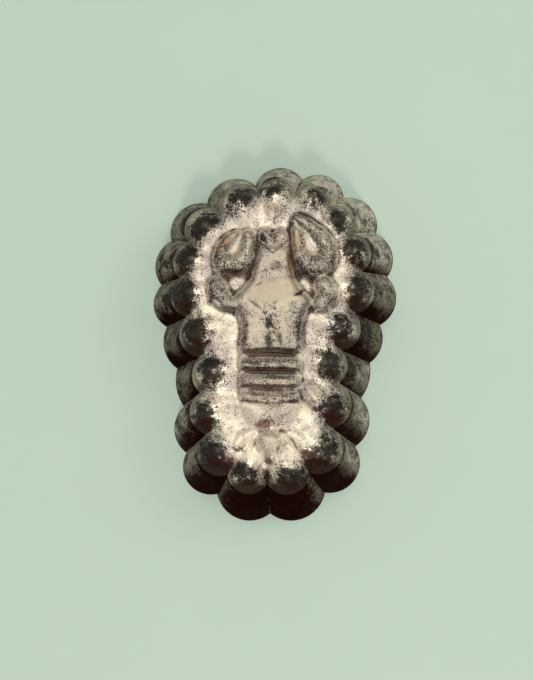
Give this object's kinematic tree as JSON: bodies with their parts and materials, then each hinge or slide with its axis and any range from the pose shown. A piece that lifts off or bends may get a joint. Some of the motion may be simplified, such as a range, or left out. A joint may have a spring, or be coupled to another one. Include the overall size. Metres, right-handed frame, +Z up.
{
  "type": "lobster mould",
  "caption": "Old tinned sheet-iron mould with a fluted flaring side and a pressed lobster on its bottom; it turns out a shaped jelly or butter.",
  "frame": {"origin": "middle of the box round the mould, on the plane of the rim it stands on", "axes": "X across the mould, +Y towards the lobster's head and claws, +Z up through the pressed lobster"},
  "size_m": [0.1214, 0.1778, 0.0384],
  "materials": {
    "tinned_top": "dulled, worn tin with fine black specks",
    "tinned_side": "darkened, mottled tin over iron",
    "solder": "grey soft solder"
  },
  "bodies": {
    "root": {"lobster_top": "tinned_top", "left_wall": "tinned_side", "right_wall": "tinned_side", "shoulder_solder": "solder", "head_seam_solder": "solder", "tail_seam_solder": "solder"}
  },
  "joints": []
}
